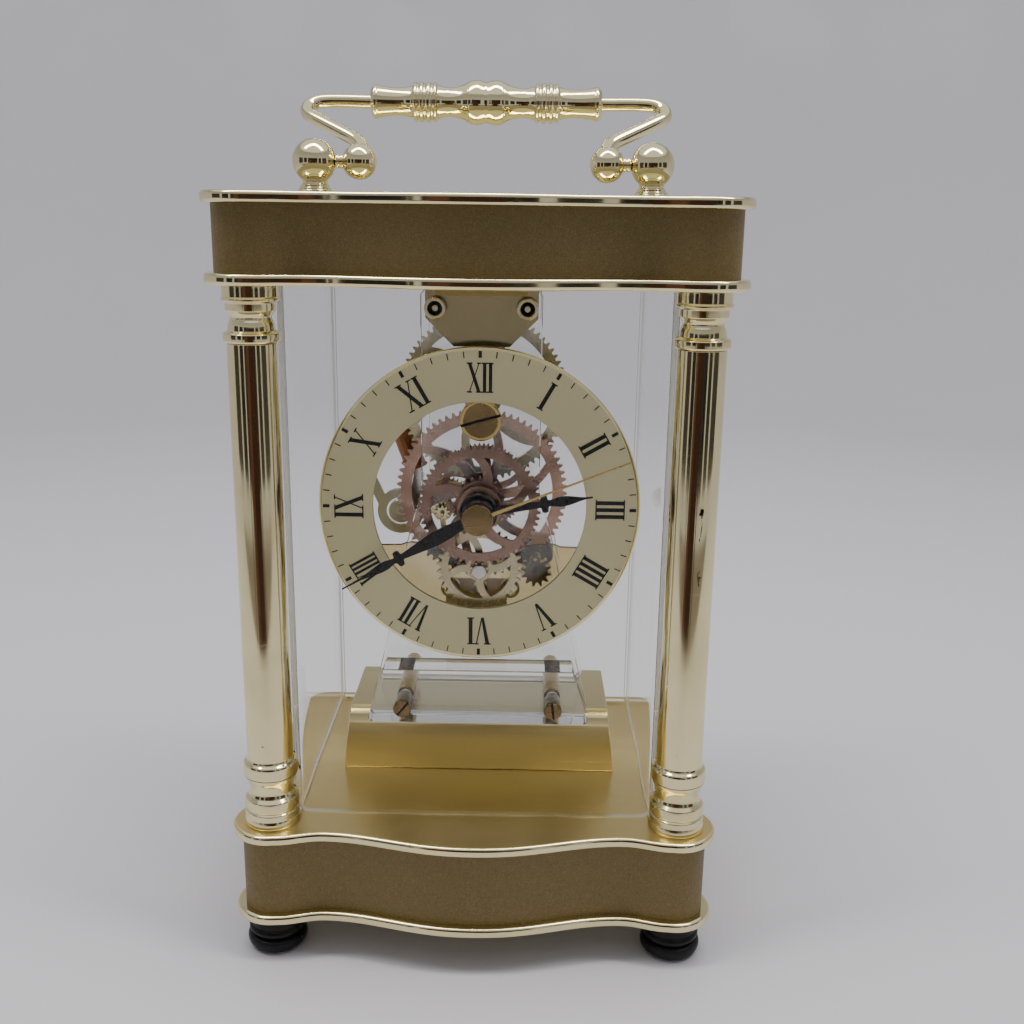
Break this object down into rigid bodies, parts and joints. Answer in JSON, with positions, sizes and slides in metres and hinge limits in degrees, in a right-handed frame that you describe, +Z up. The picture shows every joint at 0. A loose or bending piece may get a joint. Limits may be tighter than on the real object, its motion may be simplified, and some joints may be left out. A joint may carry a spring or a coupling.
{
  "type": "skeleton clock",
  "caption": "Carriage style mantel clock with a clear cover, two columns, an open dial ring over visible wheels, a swinging bail handle and a battery bay under its base.",
  "frame": {"origin": "on the table at the middle of the bounding box of the clock", "axes": "+X to the right as the dial is read, +Y from the dial to the rear door, +Z up"},
  "size_m": [0.14, 0.1062, 0.2498],
  "materials": {
    "polished_gold": "polished, lacquered",
    "brushed_gold": "brushed along the width",
    "bronze_band": "satin, fine speckle",
    "copper_wheel": "satin copper plate",
    "gold_wheel": "satin pale gold plate",
    "bright_steel": "bright",
    "black_plastic": "satin black",
    "clear_acrylic": "clear, polished",
    "amber_acrylic": "clear with a pale amber tint",
    "dial_face": "champagne satin with black print and a bright gold rim",
    "black_hand": "satin black",
    "gold_hand": "polished",
    "copper_winding": "enamelled wire",
    "circuit_board": "matt",
    "cell_jacket": "printed film"
  },
  "bodies": {
    "case": {"base_bottom_plate": "polished_gold", "base_band": "bronze_band", "base_deck": "brushed_gold", "foot_front_left": "black_plastic", "foot_front_right": "black_plastic", "foot_rear_left": "black_plastic", "foot_rear_right": "black_plastic", "battery_tray": "black_plastic", "battery_cell": "cell_jacket", "battery_contacts": "bright_steel", "pedestal_housing": "brushed_gold", "column_base_left": "polished_gold", "column_shaft_left": "polished_gold", "column_capital_left": "polished_gold", "column_base_right": "polished_gold", "column_shaft_right": "polished_gold", "column_capital_right": "polished_gold", "cover_wrap": "clear_acrylic", "top_lower_plate": "polished_gold", "top_band": "bronze_band", "top_upper_plate": "polished_gold", "handle_post_left": "polished_gold", "pivot_pin_left": "polished_gold", "handle_post_right": "polished_gold", "pivot_pin_right": "polished_gold", "front_plate": "clear_acrylic", "name_block": "clear_acrylic", "back_plate": "clear_acrylic", "top_bracket": "polished_gold", "upper_pillar_left": "bright_steel", "lower_pillar_left": "polished_gold", "foot_screw_left": "polished_gold", "upper_pillar_right": "bright_steel", "lower_pillar_right": "polished_gold", "foot_screw_right": "polished_gold", "boss_screw": "polished_gold", "lower_bridge": "amber_acrylic", "chapter_ring": "dial_face", "motion_stud": "bright_steel", "stator": "bright_steel", "coil": "copper_winding", "circuit_board": "circuit_board"},
    "handle": {"bail": "polished_gold", "handle_grip": "polished_gold"},
    "door": {"rear_door": "clear_acrylic", "door_pin_top": "polished_gold", "door_pin_bottom": "polished_gold", "door_knob": "polished_gold"},
    "battery_lid": {"battery_cover": "black_plastic"},
    "minute_arbor": {"centre_wheel": "copper_wheel", "minute_hand": "black_hand"},
    "hour_pipe": {"hour_wheel": "copper_wheel", "hour_hand": "black_hand"},
    "motion": {"motion_wheel": "copper_wheel"},
    "third": {"third_wheel": "gold_wheel"},
    "seconds_arbor": {"seconds_wheel": "copper_wheel", "second_hand": "gold_hand"},
    "step": {"step_wheel": "polished_gold"},
    "rotor_shaft": {"rotor": "bright_steel"},
    "setting_knob": {"set_arbor": "polished_gold"}
  },
  "joints": [
    {"name": "handle_hinge", "type": "hinge", "parent": "case", "child": "handle", "pos_m": [0, 0, 0.2256], "axis": [1, 0, 0], "range_deg": [0, 104]},
    {"name": "door_hinge", "type": "hinge", "parent": "case", "child": "door", "pos_m": [-0.0497, 0.0474, 0.117], "axis": [0, 0, 1], "range_deg": [0, 100]},
    {"name": "battery_cover_slide", "type": "slide", "parent": "case", "child": "battery_lid", "axis": [0, 1, 0], "range_m": [0, 0.027]},
    {"name": "minute_turn", "type": "hinge", "parent": "case", "child": "minute_arbor", "pos_m": [0, 0, 0.12845], "axis": [0, 1, 0], "continuous": true},
    {"name": "hour_turn", "type": "hinge", "parent": "case", "child": "hour_pipe", "pos_m": [0, 0, 0.12845], "axis": [0, 1, 0], "continuous": true},
    {"name": "motion_turn", "type": "hinge", "parent": "case", "child": "motion", "pos_m": [0, 0, 0.10839], "axis": [0, 1, 0], "continuous": true},
    {"name": "third_turn", "type": "hinge", "parent": "case", "child": "third", "pos_m": [0, 0, 0.15749], "axis": [0, 1, 0], "continuous": true},
    {"name": "seconds_turn", "type": "hinge", "parent": "case", "child": "seconds_arbor", "pos_m": [0, 0, 0.12845], "axis": [0, 1, 0], "continuous": true},
    {"name": "step_turn", "type": "hinge", "parent": "case", "child": "step", "pos_m": [-0.0129, 0, 0.11942], "axis": [0, 1, 0], "continuous": true},
    {"name": "rotor_turn", "type": "hinge", "parent": "case", "child": "rotor_shaft", "pos_m": [-0.0264, 0, 0.11942], "axis": [0, 1, 0], "continuous": true},
    {"name": "setting_turn", "type": "hinge", "parent": "case", "child": "setting_knob", "pos_m": [0.01727, 0, 0.10378], "axis": [0, 1, 0], "continuous": true}
  ],
  "couplings": [
    {"joint": "hour_turn", "follows": "minute_turn", "ratio": 0.083333},
    {"joint": "motion_turn", "follows": "minute_turn", "ratio": -0.625},
    {"joint": "third_turn", "follows": "minute_turn", "ratio": -8},
    {"joint": "seconds_turn", "follows": "minute_turn", "ratio": 60},
    {"joint": "step_turn", "follows": "minute_turn", "ratio": -360},
    {"joint": "rotor_turn", "follows": "minute_turn", "ratio": 1800},
    {"joint": "setting_turn", "follows": "minute_turn", "ratio": -6}
  ]
}
